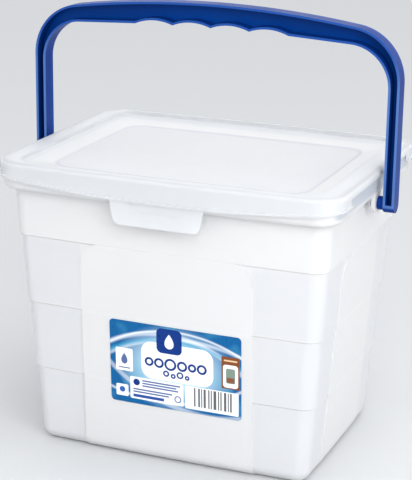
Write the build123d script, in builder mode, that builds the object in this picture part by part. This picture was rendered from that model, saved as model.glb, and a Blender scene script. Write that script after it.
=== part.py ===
"""Detergent storage box: a drafted tub with a carrying handle, a press-on lid and a label.

Millimetres. +X is the box's right, -Y its front, +Z up. The origin is the middle of the
underside. The handle is upright and the lid is closed.
"""

from build123d import *
import os

# Plan of the rim, at the foot of the lid's skirt
rim_half_width = 108.3
rim_half_depth = 81.8
rim_corner = 17.0
rim_front_bow = 2.5
rim_side_bow = 0.5

# Tub
tub_height = 180.7
wall = 1.5
floor_thickness = 2.0
shelf_width_side = 8.3
shelf_width_front = 9.3
body_corner = 9.0
body_front_bow = 1.5
body_side_bow = 0.3
draft_front = 0.0435
draft_side = 0.0545
foot_radius = 8.0

# Ledges round the tub's corners, counted down from the rim
ledge_count = 3
first_ledge_drop = 45.1
ledge_pitch = 42.95
ledge_width = 1.0
ledge_height = 1.2

# Flat panels that stand proud of the stepped corners
panel_half_width_front = 54.7
panel_half_width_side = 35.0
panel_corner_front = 14.0
panel_corner_side = 18.0
panel_proud_head = 0.8
panel_proud_foot_front = 0.8
panel_proud_foot_side = 0.2

# Rim of the tub: a shelf that turns up into a thin wall under the lid
rim_height = 16.4
lip_radius = 4.2

# Lid
lid_wall = 1.5
lid_edge_radius = 3.0
skirt_wall = 1.3
skirt_gap = 0.3
skirt_draft = 0.8
skirt_lift = 3.3
skirt_rise = 5.7
bead = 0.9
bead_height = 1.2
side_window_margin = 23.6
side_window_head = 4.5

# Pan sunk into the lid's top
pan_crest_side = 12.3
pan_step = 2.2
pan_depth = 5.6
pan_slope_side = 16.7
pan_slope_front = 19.0
pan_corner = 12.0

# Locating rib under the lid, just inside the tub's mouth
rib_wall = 1.2
rib_gap = 0.3
rib_height = 4.5

# Grip tab on the lid's front, with a shallow pad for the thumb
tab_half_width_root = 29.5
tab_half_width_foot = 26.5
tab_length = 14.0
tab_corner = 4.5
tab_root_radius = 3.0
tab_pad_half_width = 17.0
tab_pad_rise = 8.4
tab_pad_height = 10.0
tab_pad_depth = 0.4

# Ears and pins of the handle
pivot_drop = 19.7
ear_radius = 6.5
ear_proud = 0.3
ear_thickness = 2.4
pin_radius = 2.5
pin_clearance = 0.06
pin_head_radius = 3.1
pin_head_length = 1.0
pin_head_gap = 0.3
collar_radius = 4.1
collar_length = 4.0
collar_gap = 0.3

# Handle
handle_reach = 110.5
handle_depth = 10.5
handle_arm_width = 6.8
handle_crown_radius = 614.0
handle_corner_outer = 32.6
handle_corner_inner = 24.8
handle_flange = 1.4
handle_web = 2.0
grip_thickness = 14.3
grip_side_drop = 3.8
finger_pitch = 24.6
finger_count = 4
finger_rise = 2.4

# Label on the front panel
label_width = 84.6
label_height = 53.4
label_corner = 2.5
label_side_shift = 6.1
label_centre_rise = 63.1
label_thickness = 0.2
label_gap = 0.05

# Sizes that follow from the ones above
shelf_height = tub_height - rim_height
body_half_width = rim_half_width - shelf_width_side
body_half_depth = rim_half_depth - shelf_width_front
floor_radius = foot_radius - wall
ledge_heights = [tub_height - first_ledge_drop - ledge * ledge_pitch for ledge in range(ledge_count)]
panel_head = ledge_heights[0]
upstand_inset = skirt_draft + skirt_wall + skirt_gap
mouth_inset = upstand_inset + wall
rib_inset = mouth_inset + rib_gap
lid_top = tub_height + lid_wall
skirt_foot = shelf_height + skirt_lift
below_foot = skirt_foot - 1
pan_crest_front = rib_inset + lid_wall - skirt_draft
pivot_height = tub_height - pivot_drop
ear_face = rim_half_width - upstand_inset + rim_side_bow + ear_proud
handle_inner_face = ear_face + collar_gap + collar_length
handle_half_width = handle_inner_face + handle_arm_width
handle_top = pivot_height + handle_reach
grip_underside = handle_top - grip_thickness
arm_foot = pivot_height - handle_depth / 2
finger_half_span = finger_pitch * finger_count / 2
reach_across = 4 * rim_half_width


def plan(height, half_width, half_depth, corner, front_bow, side_bow):
    """A flat section: a rectangle with bowed sides and rounded corners."""
    x, y = half_width, half_depth
    with BuildSketch(Plane.XY.offset(height)) as section:
        with BuildLine():
            ThreePointArc((-x, -y), (0, -y - front_bow), (x, -y))
            ThreePointArc((x, -y), (x + side_bow, 0), (x, y))
            ThreePointArc((x, y), (0, y + front_bow), (-x, y))
            ThreePointArc((-x, y), (-x - side_bow, 0), (-x, -y))
        make_face()
        fillet(section.vertices(), corner)
    return section.sketch


def rim_plan(height, inset):
    """The rim's section, moved in from the outer face of the lid's skirt."""
    half_width = rim_half_width - inset
    half_depth = rim_half_depth - inset
    return plan(height, half_width, half_depth, rim_corner - inset, rim_front_bow, rim_side_bow)


def body_plan(height, side, front, offset):
    """The tub's drafted section: side and front are steps inward, the offset goes into the wall."""
    drop = shelf_height - height
    half_width = body_half_width - drop * draft_side - side - offset
    half_depth = body_half_depth - drop * draft_front - front - offset
    return plan(height, half_width, half_depth, body_corner - offset, body_front_bow, body_side_bow)


def stepped_sections(top, bottom, offset):
    """Sections of the walls, with a ledge round the tub at each ledge height."""
    sections = [body_plan(top, 0.0, 0.0, offset)]
    for count, height in enumerate(ledge_heights):
        above = count * ledge_width
        below = above + ledge_width
        sections.append(body_plan(height, above, above, offset))
        sections.append(body_plan(height - ledge_height, below, below, offset))
    all_ledges = ledge_count * ledge_width
    sections.append(body_plan(bottom, all_ledges, all_ledges, offset))
    return sections


def panel_step(height, proud_foot):
    """How far in from the drafted wall a panel's face is, between its head and the underside."""
    at_head = ledge_width - panel_proud_head
    at_foot = ledge_count * ledge_width - proud_foot
    return at_foot + (at_head - at_foot) * height / panel_head


def panel_plan(height, offset):
    """Section of the walls without ledges, from which the panels are cut."""
    side = panel_step(height, panel_proud_foot_side)
    front = panel_step(height, panel_proud_foot_front)
    return body_plan(height, side, front, offset)


def panel_window(plane, half_width, corner, offset):
    """The panels' outline: a square foot and a rounded head."""
    head = panel_head - offset
    with BuildSketch(plane) as window:
        with Locations((0, head / 2)):
            Rectangle(2 * (half_width - offset), head)
        fillet(window.vertices().group_by(Axis.Y)[-1], corner - offset)
    return window.sketch


def panels(bottom, offset, foot):
    """The four panels as one cross-shaped solid."""
    front = panel_window(Plane.XZ, panel_half_width_front, panel_corner_front, offset)
    side = panel_window(Plane.YZ, panel_half_width_side, panel_corner_side, offset)
    with BuildPart() as windows:
        extrude(front, amount=reach_across, both=True)
        extrude(side, amount=reach_across, both=True)
    with BuildPart() as cross:
        loft([panel_plan(bottom, offset), panel_plan(panel_head, offset)], ruled=True)
        fillet(cross.edges().group_by(Axis.Z)[0], foot)
        add(windows.part, mode=Mode.INTERSECT)
    return cross.part


# Inside of the tub
with BuildPart() as hollow:
    loft(stepped_sections(tub_height, floor_thickness, wall), ruled=True)
    fillet(hollow.edges().group_by(Axis.Z)[0], floor_radius)
    add(panels(floor_thickness, wall, floor_radius))

# Mouth inside the rim's upstand
with BuildPart() as mouth:
    extrude(rim_plan(shelf_height + wall, mouth_inset), amount=rim_height)
    fillet(mouth.edges().group_by(Axis.Z)[0], lip_radius - wall)

# Ears that hang from the rim at both sides, with a hole for the handle's pin
ear_head = shelf_height + lip_radius
with BuildPart() as ears:
    with BuildSketch(Plane.YZ.offset(ear_face - ear_thickness)):
        with Locations((0, pivot_height)):
            Circle(ear_radius)
        with Locations((0, (pivot_height + ear_head) / 2)):
            Rectangle(2 * ear_radius, ear_head - pivot_height)
        with Locations((0, pivot_height)):
            Circle(pin_radius + pin_clearance, mode=Mode.SUBTRACT)
    extrude(amount=ear_thickness)
    mirror(about=Plane.YZ)

# Rim: a shelf that turns up, with a rounded lower edge
with BuildPart() as rim:
    extrude(rim_plan(shelf_height, upstand_inset), amount=rim_height)
    fillet(rim.edges().group_by(Axis.Z)[0], lip_radius)

with BuildPart() as tub:
    loft(stepped_sections(shelf_height + wall, 0.0, 0.0), ruled=True)
    fillet(tub.edges().group_by(Axis.Z)[0], foot_radius)
    add(panels(0.0, 0.0, foot_radius))
    add(rim.part)
    add(ears.part)
    add(hollow.part, mode=Mode.SUBTRACT)
    add(mouth.part, mode=Mode.SUBTRACT)

tub.part.label = "tub"


# Label: a film on the front panel
with BuildPart() as label:
    outer = -label_gap - label_thickness
    loft([panel_plan(0.0, outer), panel_plan(panel_head, outer)], ruled=True)
    loft([panel_plan(0.0, -label_gap), panel_plan(panel_head, -label_gap)], ruled=True, mode=Mode.SUBTRACT)
    with BuildSketch(Plane.XZ):
        with Locations((label_side_shift, label_centre_rise)):
            RectangleRounded(label_width, label_height, label_corner)
    extrude(amount=reach_across, mode=Mode.INTERSECT)

label.part.label = "label"


def below_skirt(rise):
    """All that lies under the skirt's lower edge, an arc that rises to the corners."""
    reach = rim_half_width + bead
    ends = skirt_foot + skirt_rise + rise
    with BuildSketch(Plane.XZ) as under:
        with BuildLine():
            ThreePointArc((-reach, ends), (0, skirt_foot + rise), (reach, ends))
            Polyline((reach, ends), (reach, 0), (-reach, 0), (-reach, ends))
        make_face()
    return under.sketch


def pan_plan(height, margin):
    """Section of the lid's sunk pan inside its crest."""
    half_width = rim_half_width - skirt_draft - pan_crest_side + margin
    half_depth = rim_half_depth - skirt_draft - pan_crest_front + margin
    return plan(height, half_width, half_depth, pan_corner + margin, rim_front_bow, rim_side_bow)


def pan_floor_plan(height, margin):
    """Section of the lid's sunk pan at its flat floor."""
    half_width = rim_half_width - skirt_draft - pan_crest_side - pan_slope_side + margin
    half_depth = rim_half_depth - skirt_draft - pan_crest_front - pan_slope_front + margin
    return plan(height, half_width, half_depth, pan_corner + margin, rim_side_bow, rim_side_bow)


def pan_part(margin, drop):
    """The pan's form: a short steep edge, then a slope to the floor."""
    slope_head = lid_top - pan_step - drop
    slope_foot = lid_top - pan_depth - drop
    with BuildPart() as form:
        extrude(pan_plan(slope_head, margin), amount=lid_top - slope_head)
        loft([pan_floor_plan(slope_foot, margin), pan_plan(slope_head, margin)], ruled=True)
    return form.part


def skirt_part(inset, top):
    """The skirt's form, which leans out towards its foot, from below the foot up to a height."""
    share = (top - below_foot) / (lid_top - below_foot)
    with BuildPart() as form:
        loft([rim_plan(below_foot, inset), rim_plan(top, inset + share * skirt_draft)], ruled=True)
    return form.part


# Thin bead round the skirt's lower edge
with BuildPart() as bead_ring:
    bead_reach = skirt_foot + skirt_rise + bead_height - below_foot
    extrude(rim_plan(below_foot, -bead), amount=bead_reach)
    extrude(rim_plan(below_foot, skirt_wall), amount=bead_reach, mode=Mode.SUBTRACT)
    extrude(below_skirt(bead_height), amount=reach_across, both=True, mode=Mode.INTERSECT)

# The skirt is cut away along both sides, where the handle's arms stand
window_head = lid_top - side_window_head
with BuildPart() as side_windows:
    with BuildSketch(Plane.XY.offset(below_foot)):
        with Locations((rim_half_width, 0), (-rim_half_width, 0)):
            Rectangle(2 * (upstand_inset + rim_side_bow), 2 * (rim_half_depth - side_window_margin))
    extrude(amount=window_head - below_foot)

# Grip tab: it hangs from the bead, follows its bow and leaves room for fingers behind it
tab_foot = skirt_foot - tab_length
tab_reach = tab_half_width_root + 2 * tab_root_radius
tab_root = skirt_foot + skirt_rise * (tab_reach / (rim_half_width + bead)) ** 2 + bead_height / 4
tab_head = tab_root + bead_height
with BuildPart() as tab:
    with BuildSketch(Plane.XZ) as tab_face:
        with BuildLine():
            Polyline(
                (-tab_reach, tab_head),
                (-tab_reach, tab_root),
                (-tab_half_width_root, tab_root),
                (-tab_half_width_foot, tab_foot),
                (tab_half_width_foot, tab_foot),
                (tab_half_width_root, tab_root),
                (tab_reach, tab_root),
                (tab_reach, tab_head),
                close=True,
            )
        make_face()
        fillet(tab_face.vertices().group_by(Axis.Y)[0], tab_corner)
        fillet(tab_face.vertices().filter_by(lambda v: abs(abs(v.X) - tab_half_width_root) < 0.1), tab_root_radius)
    extrude(amount=reach_across)
    extrude(rim_plan(tab_foot, 0.0), amount=tab_head - tab_foot, mode=Mode.INTERSECT)
    extrude(rim_plan(tab_foot, skirt_wall), amount=tab_head - tab_foot, mode=Mode.SUBTRACT)
    extrude(below_skirt(bead_height / 2), amount=reach_across, both=True, mode=Mode.INTERSECT)
    with BuildSketch(Plane.XZ.offset(rim_half_depth + rim_front_bow - tab_pad_depth)) as pad:
        with Locations((0, tab_foot + tab_pad_rise + tab_pad_height / 2)):
            Rectangle(2 * tab_pad_half_width, tab_pad_height)
        fillet(pad.vertices().group_by(Axis.Y)[0], tab_corner)
    extrude(amount=2 * tab_pad_depth, mode=Mode.SUBTRACT)

# Rib under the lid that finds the tub's mouth
with BuildPart() as rib:
    rib_foot = tub_height - rib_height
    extrude(rim_plan(rib_foot, rib_inset), amount=rib_height + lid_wall / 2)
    extrude(rim_plan(rib_foot, rib_inset + rib_wall), amount=rib_height, mode=Mode.SUBTRACT)

with BuildPart() as lid:
    add(skirt_part(0.0, lid_top))
    fillet(lid.faces().sort_by(Axis.Z)[-1].edges(), lid_edge_radius)
    add(skirt_part(skirt_wall, tub_height), mode=Mode.SUBTRACT)
    add(bead_ring.part)
    extrude(below_skirt(0.0), amount=reach_across, both=True, mode=Mode.SUBTRACT)
    add(side_windows.part, mode=Mode.SUBTRACT)
    add(rib.part)
    add(pan_part(lid_wall, lid_wall))
    add(pan_part(0.0, 0.0), mode=Mode.SUBTRACT)
    add(tab.part)

lid.part.label = "lid"


def grip_line(x):
    """Height of the grip's underside between the finger hollows."""
    return grip_underside - grip_side_drop * (x / handle_inner_face) ** 2


def bail_outline(margin):
    """The handle's outer edge, moved in by a margin: arms and a crowned top."""
    half_width = handle_half_width - margin
    crown = handle_top - margin
    radius = handle_crown_radius - margin
    shoulder = crown - radius + (radius**2 - half_width**2) ** 0.5
    foot = arm_foot - 1 + margin
    with BuildSketch(Plane.XZ) as outline:
        with BuildLine():
            ThreePointArc((-half_width, shoulder), (0, crown), (half_width, shoulder))
            Polyline((half_width, shoulder), (half_width, foot), (-half_width, foot), (-half_width, shoulder))
        make_face()
        fillet(outline.vertices().group_by(Axis.Y)[-1], handle_corner_outer - margin)
    return outline.sketch


def bail_opening(margin):
    """The space inside the handle, grown by a margin, with finger hollows on top."""
    half_width = handle_inner_face + margin
    shoulder = grip_line(half_width) + margin
    foot = arm_foot - 2
    grip_end = grip_line(finger_half_span) + margin
    with BuildSketch(Plane.XZ) as opening:
        with BuildLine():
            for finger in range(finger_count):
                left = finger * finger_pitch - finger_half_span
                middle = left + finger_pitch / 2
                right = left + finger_pitch
                ThreePointArc(
                    (left, grip_line(left) + margin),
                    (middle, grip_line(middle) + finger_rise + margin),
                    (right, grip_line(right) + margin),
                )
            Polyline(
                (finger_half_span, grip_end),
                (half_width, shoulder),
                (half_width, foot),
                (-half_width, foot),
                (-half_width, shoulder),
                (-finger_half_span, grip_end),
            )
        make_face()
        sides = opening.vertices().filter_by_position(Axis.Y, shoulder - 0.1, shoulder + 0.1)
        fillet(sides, handle_corner_inner + margin)
    return opening.sketch


def arm_profile(radius, front):
    """The handle from the side: a bar with a round foot about the pivot."""
    with BuildSketch(Plane.YZ) as profile:
        with Locations((0, pivot_height)):
            Circle(radius)
        with Locations((radius, pivot_height)):
            Rectangle(radius + front, handle_top - pivot_height + 1, align=(Align.MAX, Align.MIN))
    return profile.sketch


# Channel in the handle, open to the front
pocket_radius = handle_depth / 2 - handle_web
with BuildPart() as pocket:
    extrude(bail_outline(handle_flange), amount=handle_depth, both=True)
    extrude(bail_opening(handle_flange), amount=handle_depth, both=True, mode=Mode.SUBTRACT)
    extrude(
        arm_profile(pocket_radius, handle_depth),
        amount=handle_half_width,
        both=True,
        mode=Mode.INTERSECT,
    )

# Pins with a collar outside the ear and a snap head behind it
head_face = ear_face - ear_thickness - pin_head_gap
with BuildPart() as pins:
    with BuildSketch(Plane.YZ.offset(ear_face + collar_gap)):
        with Locations((0, pivot_height)):
            Circle(collar_radius)
    extrude(amount=handle_inner_face - ear_face - collar_gap)
    with BuildSketch(Plane.YZ.offset(head_face - pin_head_length)):
        with Locations((0, pivot_height)):
            Circle(pin_radius)
    extrude(amount=handle_inner_face - head_face + pin_head_length)
    with BuildSketch(Plane.YZ.offset(head_face - pin_head_length)):
        with Locations((0, pivot_height)):
            Circle(pin_head_radius)
    extrude(amount=pin_head_length)
    mirror(about=Plane.YZ)

with BuildPart() as handle:
    extrude(bail_outline(0.0), amount=handle_depth / 2, both=True)
    extrude(bail_opening(0.0), amount=handle_depth, both=True, mode=Mode.SUBTRACT)
    extrude(
        arm_profile(handle_depth / 2, handle_depth / 2),
        amount=handle_half_width,
        both=True,
        mode=Mode.INTERSECT,
    )
    add(pocket.part, mode=Mode.SUBTRACT)
    add(pins.part)

handle.part.label = "handle"

os.makedirs("parts", exist_ok=True)
for piece in (tub, lid, handle, label):
    print(piece.part.label, len(piece.part.solids()), round(piece.part.volume, 1), piece.part.bounding_box())
    export_step(piece.part, f"parts/{piece.part.label}.step")
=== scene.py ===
"""Looks of the detergent storage box: frosted tub and lid, blue bail handle, printed label.

Metres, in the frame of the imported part: +X right, -Y front, +Z up, origin in the middle of the
underside. The four moulded pieces are the frame's own; this script gives them their plastics
and their print, and sets the studio and the camera.
"""

import math

import bpy
from mathutils import Matrix, Vector


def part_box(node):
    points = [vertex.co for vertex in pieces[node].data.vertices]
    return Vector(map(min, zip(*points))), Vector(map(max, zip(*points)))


MM = 0.001

# Camera: where it stands, what it looks at, its turn about the line of sight and its lens
CAMERA_AT = Vector((0.3561, -0.8876, 0.4169))
CAMERA_LOOKS_AT = Vector((-0.0154, 0.0312, 0.1132))
CAMERA_ROLL = math.radians(0.87)
CAMERA_LENS_MM = 120.46
CAMERA_SENSOR_MM = 36.0
CAMERA_SEES_FROM = 0.01
CAMERA_SEES_TO = 50.0

# Studio: the floor, the surroundings, and the soft boxes with their place, size and watts
FLOOR_RADIUS = 14.0
FLOOR_CORNERS = 64
FLOOR_GREY = (0.55, 0.56, 0.57, 1.0)
SURROUNDINGS = (0.98, 0.985, 1.0, 1.0)
SURROUNDINGS_STRENGTH = 1.16
LAMPS_AIM_AT = (0.0, 0.0, 0.1)
LAMPS = {
    "key": ((0.42, -0.92, 0.82), 0.6, 4.1),
    "side": ((0.62, -0.50, 0.42), 0.35, 2.4),
    "top": ((0.35, -0.05, 1.3), 0.7, 3.3),
}

# A pair under Lid and Tub says up to which distance a colour is full, and where it is gone

# Lid: the sunk pan's half sizes, how far its floor lies below the lid's top, and the line of
# painted shade at its fold
PAN_HALF_WIDTH = 92 * MM
PAN_HALF_DEPTH = 70 * MM
PAN_DEPTH = 5.6 * MM
PAN_FLOOR_COLOUR = (0.02 * MM, 0.1 * MM)
FOLD_RISE = 0.3 * MM
FOLD_SHADE_LINE = (0.1 * MM, 0.35 * MM)

# Tub: the ledges with their lines of painted light, the rim band of painted shadow below its top,
# the panels' half widths, where their lines of painted light start below the first ledge, how far
# out its faces lie at least, and its foot
LEDGE_DEPTHS = (45.1 * MM, 88.05 * MM, 131.0 * MM)
LEDGE_LIGHT_DROP = 0.6 * MM
LEDGE_LIGHT_LINE = (0.6 * MM, 1.4 * MM)
PANEL_HALF_WIDTH_FRONT = 54.7 * MM
PANEL_HALF_WIDTH_SIDE = 35.0 * MM
PANEL_LIGHT_LINE = (0.4 * MM, 1.2 * MM)
PANEL_LIGHT_START = (15 * MM, 13 * MM)
FRONT_FACE_FROM = 60 * MM
SIDE_FACE_FROM = 88 * MM
FOOT_LIGHT_LINE = (2.0 * MM, 4.0 * MM)
# The rim band at the sides carries a painted shadow of the lid's overhang
RIM_SHADOW_DEPTH = 12.2 * MM
RIM_SHADOW_INSET = 4.0 * MM
RIM_SHADOW_FADE = 2 * MM

# Handle: the web at the back of its channel, the flanges' front edge with its painted highlight,
# and the crown where that highlight dims
WEB_THICKNESS = 2.0 * MM
WEB_FADE = 2.0 * MM
EDGE_HIGHLIGHT_STARTS = 0.6 * MM
EDGE_HIGHLIGHT_FULL = 0.1 * MM
CROWN_DEPTH = 22 * MM
CROWN_FADE = 20 * MM

POLYPROPYLENE_IOR = 1.49


def srgb(red, green, blue):
    """A colour read as 0 to 255 display values, as linear light."""
    def linear(v):
        v /= 255.0
        return v / 12.92 if v <= 0.04045 else ((v + 0.055) / 1.055) ** 2.4
    return (linear(red), linear(green), linear(blue), 1.0)


# Frosted plastic
CLOUD = srgb(240, 242, 246)
# Painted light: the pale lines under the ledges, along the panels' edges and at the foot, and the
# lid pan's slopes
PAINTED_LIGHT = srgb(254, 254, 254)
# Painted shade: the lid's crest, a little greyer than the pan
LID_CREST_SHADE = srgb(246, 248, 250)
LID_FLOOR = srgb(248, 249, 250)
# Painted shade: the grey line at the pan's fold, just above its floor
LID_FOLD_SHADE = srgb(226, 229, 234)
TUB_PANEL = srgb(251, 251, 251)
# Painted shade: the tub's greyer corner fields
TUB_CORNER_SHADE = srgb(243, 244, 246)
# Painted shadow of the lid's overhang on the rim's band at the sides
TUB_RIM_SIDE_SHADOW = srgb(216, 222, 230)

# Blue plastic
WEB_DEEP = srgb(0, 52, 126)
WEB_LIGHT = srgb(0, 60, 142)
FLANGE = srgb(6, 48, 122)
# Painted highlight on the flanges' front edges: paler on the arms, dimmer in the crown
ARM_EDGE_HIGHLIGHT = srgb(72, 106, 168)
CROWN_EDGE_HIGHLIGHT = srgb(34, 74, 148)

# Inks
DEEP_BLUE = srgb(0, 90, 148)
NAVY = srgb(0, 48, 124)
BAR_BLUE = srgb(40, 76, 152)
DOT_BLUE = srgb(44, 96, 168)
GREY_BLUE = srgb(84, 102, 150)
GLOW_BLUE = srgb(186, 220, 236)
TEAL = srgb(58, 160, 196)
PALE_TEAL = srgb(84, 178, 204)
WHITE = srgb(246, 249, 251)
STRIPE_BLACK = srgb(40, 40, 46)
BROWN = srgb(124, 70, 38)
RUST = srgb(132, 70, 40)
SAND = srgb(226, 190, 150)
GREY_GREEN = srgb(122, 140, 128)


class Wiring:
    """A short hand for a material's node tree: a method adds a node and gives its output."""

    def __init__(self, name):
        self.material = bpy.data.materials.new(name)
        self.material.use_nodes = True
        self.tree = self.material.node_tree
        self.shader = self.tree.nodes["Principled BSDF"]

    def node(self, kind, **settings):
        """A node of a kind, with its settings."""
        made = self.tree.nodes.new(kind)
        for key, value in settings.items():
            setattr(made, key, value)
        return made

    def feed(self, value, socket):
        """A socket takes a number, a colour or another node's output."""
        if isinstance(value, bpy.types.NodeSocket):
            self.tree.links.new(value, socket)
        else:
            socket.default_value = value

    def math(self, operation, *values, clamp=False):
        """One step of arithmetic on numbers or outputs, kept from 0 to 1 where it is clamped."""
        made = self.node("ShaderNodeMath", operation=operation, use_clamp=clamp)
        for value, socket in zip(values, made.inputs):
            self.feed(value, socket)
        return made.outputs[0]

    def mix(self, share, first, second):
        """First and second colour, mixed by a share from 0 to 1."""
        made = self.node("ShaderNodeMix", data_type="RGBA")
        self.feed(share, made.inputs["Factor"])
        self.feed(first, made.inputs["A"])
        self.feed(second, made.inputs["B"])
        return made.outputs["Result"]

    def place(self):
        """Object coordinates: they stay with the piece when it moves."""
        return self.node("ShaderNodeTexCoord").outputs["Object"]

    def split(self, place):
        """The three numbers of a place."""
        made = self.node("ShaderNodeSeparateXYZ")
        self.feed(place, made.inputs[0])
        return made.outputs

    def noise(self, place, scale, detail=2.0):
        """Cloudy noise around 0.5, with a number of waves in a metre and a number of layers."""
        made = self.node("ShaderNodeTexNoise")
        self.feed(place, made.inputs["Vector"])
        made.inputs["Scale"].default_value = scale
        made.inputs["Detail"].default_value = detail
        return made.outputs["Fac"]

    def ramp(self, value, low, high, at_low=0.0, at_high=1.0):
        """A value between low and high, spread over at_low to at_high."""
        made = self.node("ShaderNodeMapRange")
        self.feed(value, made.inputs["Value"])
        made.inputs["From Min"].default_value = low
        made.inputs["From Max"].default_value = high
        made.inputs["To Min"].default_value = at_low
        made.inputs["To Max"].default_value = at_high
        return made.outputs["Result"]

    def fade(self, value, full, gone):
        """A share that is 1 up to a value and falls to 0 at a larger one."""
        return self.ramp(value, full, gone, 1.0, 0.0)

    def patches(self, place, scale, detail, at_low, at_high):
        """Noise from 0.3 to 0.7, spread over at_low to at_high."""
        return self.ramp(self.noise(place, scale, detail), 0.3, 0.7, at_low, at_high)

    def both(self, first, second):
        """The product of two shares: where both hold, or one of them at a strength."""
        return self.math("MULTIPLY", first, second)

    def off_middle(self, coordinate):
        """How far a coordinate is from 0."""
        return self.math("ABSOLUTE", coordinate)

    def off(self, value, line):
        """How far a value is from a line."""
        return self.math("ABSOLUTE", self.math("SUBTRACT", value, line))

    def bump(self, height, strength, distance):
        """Grain: the surface leans as if it rose with the height, by a distance at most."""
        made = self.node("ShaderNodeBump")
        self.feed(height, made.inputs["Height"])
        made.inputs["Strength"].default_value = strength
        made.inputs["Distance"].default_value = distance
        self.feed(made.outputs["Normal"], self.shader.inputs["Normal"])

    def set(self, **values):
        """Values for the shader's own sockets, with _ for each space in a socket's name."""
        for key, value in values.items():
            self.feed(value, self.shader.inputs[key.replace("_", " ")])


def frosted(w, place, colour_here, see_through, roughness):
    """Milky translucent polypropylene: a light cloud in its colour and a fine moulded grain.

    The cloud's patches are about 110 mm across. The roughness wanders by 0.02 either way in
    patches of about 17 mm, and the grain is about 1 mm across.
    """
    cloud = w.patches(place, 9.0, 3.0, 0.0, 0.35)
    w.set(
        Base_Color=w.mix(cloud, colour_here, CLOUD),
        Roughness=w.patches(place, 60.0, 3.0, roughness - 0.02, roughness + 0.02),
        Transmission_Weight=see_through,
        IOR=POLYPROPYLENE_IOR,
        Specular_IOR_Level=0.3,
    )
    w.bump(w.noise(place, 900.0), 0.03, 0.0002)
    return w.material


def lid_plastic(high):
    """The lid: slopes paler as painted light, a greyer sunk floor, a crest greyer as painted
    shade, and a line of painted shade where the slopes end.

    The pan is where x and y are both within its half sizes. Its floor's colour ends just above
    the floor, and the middle of the painted shade line at the fold lies a little higher, on the
    slopes.
    """
    w = Wiring("lid_plastic")
    place = w.place()
    x, y, z = w.split(place)
    within_width = w.fade(w.off_middle(x), PAN_HALF_WIDTH - MM, PAN_HALF_WIDTH)
    within_depth = w.fade(w.off_middle(y), PAN_HALF_DEPTH - MM, PAN_HALF_DEPTH)
    in_pan = w.both(within_width, within_depth)
    above_floor = w.math("SUBTRACT", z, high[2] - PAN_DEPTH)
    on_floor = w.both(w.fade(above_floor, *PAN_FLOOR_COLOUR), in_pan)
    # A line of painted shade along the fold
    on_fold_shade = w.both(w.fade(w.off(above_floor, FOLD_RISE), *FOLD_SHADE_LINE), in_pan)
    # The crest is painted greyer as shade, and the pan's slopes paler as painted light
    here = w.mix(in_pan, LID_CREST_SHADE, PAINTED_LIGHT)
    here = w.mix(on_floor, here, LID_FLOOR)
    here = w.mix(on_fold_shade, here, LID_FOLD_SHADE)
    return frosted(w, place, here, see_through=0.54, roughness=0.42)


def tub_plastic(high):
    """The tub: painted shade in its corner fields, a painted shadow at the rim's sides, and pale
    lines of painted light.

    A corner field, painted greyer as shade, is past both panels' half widths and below the first
    ledge.
    The pale lines of painted light run just below each ledge, along the panels' edges on the
    faces that carry them, and at the foot.
    """
    w = Wiring("tub_plastic")
    place = w.place()
    x, y, z = w.split(place)
    ledges = [high[2] - depth for depth in LEDGE_DEPTHS]
    first_ledge = ledges[0]

    past_front_panel = w.ramp(
        w.off_middle(x), PANEL_HALF_WIDTH_FRONT - MM, PANEL_HALF_WIDTH_FRONT + MM)
    past_side_panel = w.ramp(
        w.off_middle(y), PANEL_HALF_WIDTH_SIDE - MM, PANEL_HALF_WIDTH_SIDE + MM)
    below_first_ledge = w.fade(z, first_ledge - MM, first_ledge + MM)
    # Painted shade: the corner fields below the first ledge are greyer than the panels
    corner_shade = w.both(w.both(past_front_panel, past_side_panel), below_first_ledge)
    here = w.mix(corner_shade, TUB_PANEL, TUB_CORNER_SHADE)

    # Pale lines of painted light just below each ledge
    for ledge in ledges:
        off_ledge_light = w.off(z, ledge - LEDGE_LIGHT_DROP)
        here = w.mix(w.fade(off_ledge_light, *LEDGE_LIGHT_LINE), here, PAINTED_LIGHT)

    # Pale lines of painted light along the panels' edges
    line_full, line_gone = [first_ledge - below for below in PANEL_LIGHT_START]
    below_panel_corners = w.fade(z, line_full, line_gone)
    for across, half_width, outward, face_from in (
        (x, PANEL_HALF_WIDTH_FRONT, y, FRONT_FACE_FROM),
        (y, PANEL_HALF_WIDTH_SIDE, x, SIDE_FACE_FROM),
    ):
        off_edge = w.off(w.off_middle(across), half_width)
        panel_edge_light = w.both(w.fade(off_edge, *PANEL_LIGHT_LINE), below_panel_corners)
        on_face = w.ramp(w.off_middle(outward), face_from - MM, face_from + MM)
        here = w.mix(w.both(panel_edge_light, on_face), here, PAINTED_LIGHT)

    # A line of painted light along the foot
    here = w.mix(w.fade(z, *FOOT_LIGHT_LINE), here, PAINTED_LIGHT)

    # Painted shadow of the lid's overhang: the rim's band at the sides is greyer blue
    rim_shadow_low = high[2] - RIM_SHADOW_DEPTH
    rim_shadow_side = high[0] - RIM_SHADOW_INSET
    in_shadow_band = w.ramp(z, rim_shadow_low - MM, rim_shadow_low + MM)
    at_shadow_side = w.ramp(w.off_middle(x), rim_shadow_side, rim_shadow_side + RIM_SHADOW_FADE)
    here = w.mix(w.both(in_shadow_band, at_shadow_side), here, TUB_RIM_SIDE_SHADOW)
    return frosted(w, place, here, see_through=0.42, roughness=0.40)


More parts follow.
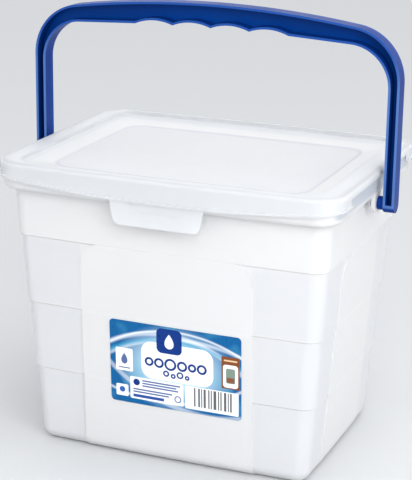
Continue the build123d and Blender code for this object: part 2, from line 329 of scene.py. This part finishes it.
def blue_plastic(low, high):
    """The handle: satin blue polypropylene, with a deep web, flanges and front edges with a
    painted highlight.

    Each is told apart by how far to the front it lies. The edges' painted highlight is palest on
    the arms and deepens upwards into the crown. Flow marks of about 70 mm lighten the web, the
    roughness wanders in patches of about 22 mm, and the grain is about 1.4 mm across.
    """
    w = Wiring("blue_handle_plastic")
    place = w.place()
    flow_marks = w.patches(place, 14.0, 4.0, 0.0, 1.0)
    web = w.mix(flow_marks, WEB_DEEP, WEB_LIGHT)
    y, z = w.split(place)[1:3]
    to_front = w.math("MULTIPLY", y, -1.0)
    flange_front = -low[1]
    web_front = WEB_THICKNESS - flange_front
    arm_top = high[2] - CROWN_DEPTH
    on_flange = w.ramp(to_front, web_front, web_front + WEB_FADE)
    # The flanges' front edges carry a painted highlight
    on_edge_highlight = w.ramp(to_front, flange_front - EDGE_HIGHLIGHT_STARTS, flange_front - EDGE_HIGHLIGHT_FULL)
    sides = w.mix(on_flange, web, FLANGE)
    in_crown = w.ramp(z, arm_top - CROWN_FADE, arm_top)
    edge = w.mix(in_crown, ARM_EDGE_HIGHLIGHT, CROWN_EDGE_HIGHLIGHT)
    w.set(
        Specular_IOR_Level=0.07,
        Base_Color=w.mix(on_edge_highlight, sides, edge),
        Roughness=w.patches(place, 45.0, 3.0, 0.30, 0.40),
    )
    w.bump(w.noise(place, 700.0), 0.05, 0.0003)
    return w.material


class Print:
    """Flat colours laid over each other on the label, placed in millimetres from its centre.

    A shape is a distance: below 0 inside it, above 0 outside it. It lies at its middle, or a drop
    at its foot, given as across and up; half is half a box's width and half its height.
    """

    def __init__(self, wiring, centre, ground):
        self.w = wiring
        place = wiring.split(wiring.place())
        self.u = self.from_centre(place[0], centre[0])
        self.v = self.from_centre(place[2], centre[1])
        self.ink = ground

    def from_centre(self, coordinate, centre):
        """A coordinate in millimetres from the print's centre."""
        return self.w.math("DIVIDE", self.w.math("SUBTRACT", coordinate, centre), MM)

    def shifted(self, at):
        """Across and up from a point of the print."""
        return self.w.math("SUBTRACT", self.u, at[0]), self.w.math("SUBTRACT", self.v, at[1])

    def length(self, first, second):
        """Square root of the sum of the squares."""
        m = self.w.math
        return m("SQRT", m("ADD", m("MULTIPLY", first, first), m("MULTIPLY", second, second)))

    def box(self, at, half, corner):
        """Distance from a rounded box: how far past the inner box, less the corner's radius."""
        m = self.w.math
        u, v = self.shifted(at)
        past_u = m("MAXIMUM", m("SUBTRACT", m("ABSOLUTE", u), half[0] - corner), 0.0)
        past_v = m("MAXIMUM", m("SUBTRACT", m("ABSOLUTE", v), half[1] - corner), 0.0)
        return m("SUBTRACT", self.length(past_u, past_v), corner)

    def disc(self, at, radius):
        """Distance from a disc: length from its centre, less its radius."""
        return self.w.math("SUBTRACT", self.length(*self.shifted(at)), radius)

    def ring(self, at, radius, half_width):
        """Distance from a ring: how far off the circle, less half the ring's width."""
        m = self.w.math
        return m("SUBTRACT", m("ABSOLUTE", self.disc(at, radius)), half_width)

    def drop(self, at, radius, height):
        """Distance from a drop: how far across from its middle line, less half its width.

        At a share t of its height half the width is 2.6 r sqrt(t) (1 - t) - 0.2.
        """
        m = self.w.math
        u, v = self.shifted(at)
        share = m("DIVIDE", v, height, clamp=True)
        swell = m("MULTIPLY", m("SQRT", share), m("SUBTRACT", 1.0, share))
        half_width = m("SUBTRACT", m("MULTIPLY", swell, 2.6 * radius), 0.2)
        return m("SUBTRACT", m("ABSOLUTE", u), half_width)

    def inside(self, distance, softness=0.25):
        """1 inside a shape, 0 outside it, with an edge as wide as the softness."""
        return self.w.fade(distance, -softness / 2, softness / 2)

    def lay(self, share, ink):
        """Ink over all that is printed so far, by a share from 0 to 1."""
        self.ink = self.w.mix(share, self.ink, ink)

    def lay_shape(self, distance, ink):
        """Ink inside a shape."""
        self.lay(self.inside(distance), ink)

    def lay_within(self, first, second, ink):
        """Ink where two shapes overlap."""
        self.lay(self.w.both(self.inside(first), self.inside(second)), ink)

    def lay_arc(self, ring, softness, strength, ink):
        """Thin ink along the part of a large ring that crosses the print, with a soft edge."""
        self.lay(self.w.both(self.inside(ring, softness), strength), ink)


def blue_wash(w, art):
    """The ground: a pale glow in the middle, teal streaks of noise, and arcs across the field.

    The glow fades from 0.45 to 1.05 of an ellipse with half axes of 38 and 27 mm.
    """
    off_ellipse = art.length(w.math("DIVIDE", art.u, 38.0), w.math("DIVIDE", art.v, 27.0))
    art.lay(w.both(w.fade(off_ellipse, 0.45, 1.05), 0.85), GLOW_BLUE)
    art.lay(w.ramp(w.noise(w.place(), 60.0), 0.52, 0.75, 0.0, 0.35), PALE_TEAL)
    for centre, radius, half_width, strength in (
        ((2.0, -62.0), 86.0, 0.5, 0.75),
        ((-6.0, -52.0), 73.5, 1.4, 0.4),
        ((10.0, -80.0), 99.5, 1.1, 0.4),
        ((-10.0, 74.0), 97.0, 0.8, 0.5),
        ((22.0, 66.0), 93.5, 1.4, 0.35),
    ):
        art.lay_arc(art.ring(centre, radius, half_width), 1.2, strength, WHITE)
    art.lay_arc(art.ring((0.0, -66.0), 84.0, 1.0), 1.5, 0.6, TEAL)


def bubble_panel(art):
    """A white panel with a row of large rings and a row of small ones under it."""
    art.lay_shape(art.box((1.5, 3.6), (23.2, 12.0), 7.0), WHITE)
    for across, radius in (
        (-16.6, 2.2), (-10.2, 2.5), (-2.8, 3.2), (4.8, 2.6), (11.2, 2.0), (17.4, 2.5),
    ):
        art.lay_shape(art.ring((across, 2.6), radius, 0.72), NAVY)
    for at, radius in (
        ((-5.6, -3.6), 1.5), ((-1.0, -4.6), 1.1), ((3.4, -3.4), 1.7), ((8.0, -4.4), 1.0),
    ):
        art.lay_shape(art.ring(at, radius, 0.55), NAVY)


def drop_badge(art):
    """A navy badge with a white drop, over the panel's top edge."""
    art.lay_shape(art.box((-3.4, 17.4), (8.2, 8.0), 3.4), NAVY)
    art.lay_shape(art.drop((-3.4, 12.6), 3.1, 9.6), WHITE)


def left_boxes(art):
    """Two small white boxes at the left: a drop over a bar, and a dot."""
    art.lay_shape(art.box((-33.0, 1.4), (5.6, 7.4), 0.8), WHITE)
    art.lay_shape(art.drop((-33.0, -1.6), 2.3, 7.4), GREY_BLUE)
    art.lay_shape(art.box((-33.0, -4.0), (3.8, 0.4), 0.2), GREY_BLUE)
    art.lay_shape(art.box((-34.8, -19.0), (4.0, 3.8), 0.8), WHITE)
    art.lay_shape(art.disc((-34.8, -18.6), 1.9), DOT_BLUE)


def bar_box(art):
    """A white box with a dot, five thin bars, a thick one and a thin ring."""
    art.lay_shape(art.box((-12.0, -16.2), (17.4, 7.2), 0.8), WHITE)
    art.lay_shape(art.disc((-25.2, -12.4), 2.2), NAVY)
    for level, left, right in (
        (-10.9, -21.5, 3.4),
        (-12.6, -21.5, 1.0),
        (-14.3, -21.5, 2.2),
        (-17.0, -27.5, -1.8),
        (-18.7, -27.5, -4.0),
    ):
        middle = ((left + right) / 2, level)
        art.lay_shape(art.box(middle, ((right - left) / 2, 0.52), 0.3), GREY_BLUE)
    art.lay_shape(art.box((-17.4, -21.3), (10.2, 1.0), 0.4), BAR_BLUE)
    art.lay_shape(art.ring((1.8, -19.4), 1.9, 0.4), GREY_BLUE)


def stripe_box(w, art):
    """A white box with a row of uneven stripes.

    They darken as sin(3 u + 1.3 sin(1.1 u)) goes from -0.3 to 0.1, with u in millimetres.
    """
    art.lay_shape(art.box((23.6, -16.6), (17.0, 7.4), 0.8), WHITE)
    sway = w.math("SINE", w.math("MULTIPLY", art.u, 1.1))
    phase = w.math("ADD", w.math("MULTIPLY", art.u, 3.0), w.math("MULTIPLY", sway, 1.3))
    stripes = w.math("SINE", phase)
    block = art.inside(art.box((25.2, -15.9), (13.0, 6.1), 0.1))
    art.lay(w.both(block, w.ramp(stripes, -0.3, 0.1)), STRIPE_BLACK)


def brown_field(art):
    """A brown field with a pale bar, and a white box that holds a plain box, part filled."""
    art.lay_shape(art.box((35.6, 3.4), (5.7, 10.3), 0.5), BROWN)
    art.lay_shape(art.box((35.6, 11.2), (4.2, 0.5), 0.3), SAND)
    art.lay_shape(art.box((35.6, 1.2), (4.7, 7.3), 1.8), WHITE)
    art.lay_shape(art.box((35.6, 1.4), (2.9, 4.8), 1.1), GREY_GREEN)
    filled = art.box((35.6, -1.4), (2.4, 1.7), 0.1)
    art.lay_within(art.box((35.6, 1.4), (2.4, 4.3), 0.8), filled, RUST)


def label_print(low, high):
    """The label: a glossy film, printed from the ground up around the middle of its front."""
    w = Wiring("label_print")
    centre = ((low[0] + high[0]) / 2, (low[2] + high[2]) / 2)
    art = Print(w, centre, DEEP_BLUE)
    blue_wash(w, art)
    bubble_panel(art)
    drop_badge(art)
    left_boxes(art)
    bar_box(art)
    stripe_box(w, art)
    brown_field(art)
    w.set(
        Specular_IOR_Level=0.2,
        Base_Color=art.ink,
        Roughness=w.patches(w.place(), 160.0, 2.0, 0.26, 0.36),
    )
    w.bump(w.noise(w.place(), 500.0), 0.02, 0.0002)
    return w.material


def dress(piece, material):
    """The material goes on all the faces of a piece."""
    piece.data.materials.clear()
    piece.data.materials.append(material)


def floor():
    """A flat matt disc at height 0, with its corners at equal angles on a circle."""
    w = Wiring("studio_floor")
    w.set(Base_Color=FLOOR_GREY, Roughness=0.9)
    step = 2.0 * math.pi / FLOOR_CORNERS
    rim = [
        (FLOOR_RADIUS * math.cos(step * i), FLOOR_RADIUS * math.sin(step * i), 0.0)
        for i in range(FLOOR_CORNERS)
    ]
    mesh = bpy.data.meshes.new("studio_floor")
    mesh.from_pydata(rim, [], [list(range(FLOOR_CORNERS))])
    piece = bpy.data.objects.new("studio_floor", mesh)
    bpy.context.scene.collection.objects.link(piece)
    mesh.materials.append(w.material)


def lamp(name, at, size, watts):
    """A square soft box that faces the point that all lamps aim at."""
    data = bpy.data.lights.new(name, "AREA")
    data.shape = "SQUARE"
    data.size = size
    data.energy = watts
    box = bpy.data.objects.new(name, data)
    box.location = at
    ahead = Vector(LAMPS_AIM_AT) - Vector(at)
    box.rotation_euler = ahead.to_track_quat("-Z", "Y").to_euler()
    bpy.context.scene.collection.objects.link(box)


def studio():
    """Pale surroundings, with soft boxes before the object, near its right and over it."""
    world = bpy.data.worlds.new("studio")
    world.use_nodes = True
    background = world.node_tree.nodes["Background"]
    background.inputs["Color"].default_value = SURROUNDINGS
    background.inputs["Strength"].default_value = SURROUNDINGS_STRENGTH
    bpy.context.scene.world = world
    for name, (at, size, watts) in LAMPS.items():
        lamp(name, at, size, watts)


def camera():
    """The photograph's viewpoint.

    The view runs from the first point to the second. Right and up are square to it, level at
    first, and turned about it by the roll.
    """
    data = bpy.data.cameras.new("photo_camera")
    data.sensor_width = CAMERA_SENSOR_MM
    data.lens = CAMERA_LENS_MM
    data.clip_start = CAMERA_SEES_FROM
    data.clip_end = CAMERA_SEES_TO
    ahead = (CAMERA_LOOKS_AT - CAMERA_AT).normalized()
    level = ahead.cross(Vector((0, 0, 1))).normalized()
    upright = level.cross(ahead)
    right = level * math.cos(CAMERA_ROLL) + upright * math.sin(CAMERA_ROLL)
    up = upright * math.cos(CAMERA_ROLL) - level * math.sin(CAMERA_ROLL)
    turn = Matrix((right, up, -ahead)).transposed().to_4x4()
    eye = bpy.data.objects.new("photo_camera", data)
    eye.matrix_world = Matrix.Translation(CAMERA_AT) @ turn
    bpy.context.scene.collection.objects.link(eye)
    bpy.context.scene.camera = eye


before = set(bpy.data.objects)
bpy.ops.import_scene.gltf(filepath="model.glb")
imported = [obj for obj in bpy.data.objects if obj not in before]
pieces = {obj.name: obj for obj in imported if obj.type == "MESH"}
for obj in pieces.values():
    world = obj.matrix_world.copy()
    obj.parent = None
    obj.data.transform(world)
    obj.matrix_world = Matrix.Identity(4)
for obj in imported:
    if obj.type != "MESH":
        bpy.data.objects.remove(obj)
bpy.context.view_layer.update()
bpy.context.scene.view_settings.view_transform = "Standard"

# Each piece's colours follow its own box, which is its low and its high corner
dress(pieces["tub"], tub_plastic(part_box("tub")[1]))
dress(pieces["lid"], lid_plastic(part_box("lid")[1]))
dress(pieces["handle"], blue_plastic(*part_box("handle")))
dress(pieces["label"], label_print(*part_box("label")))

floor()
studio()
camera()
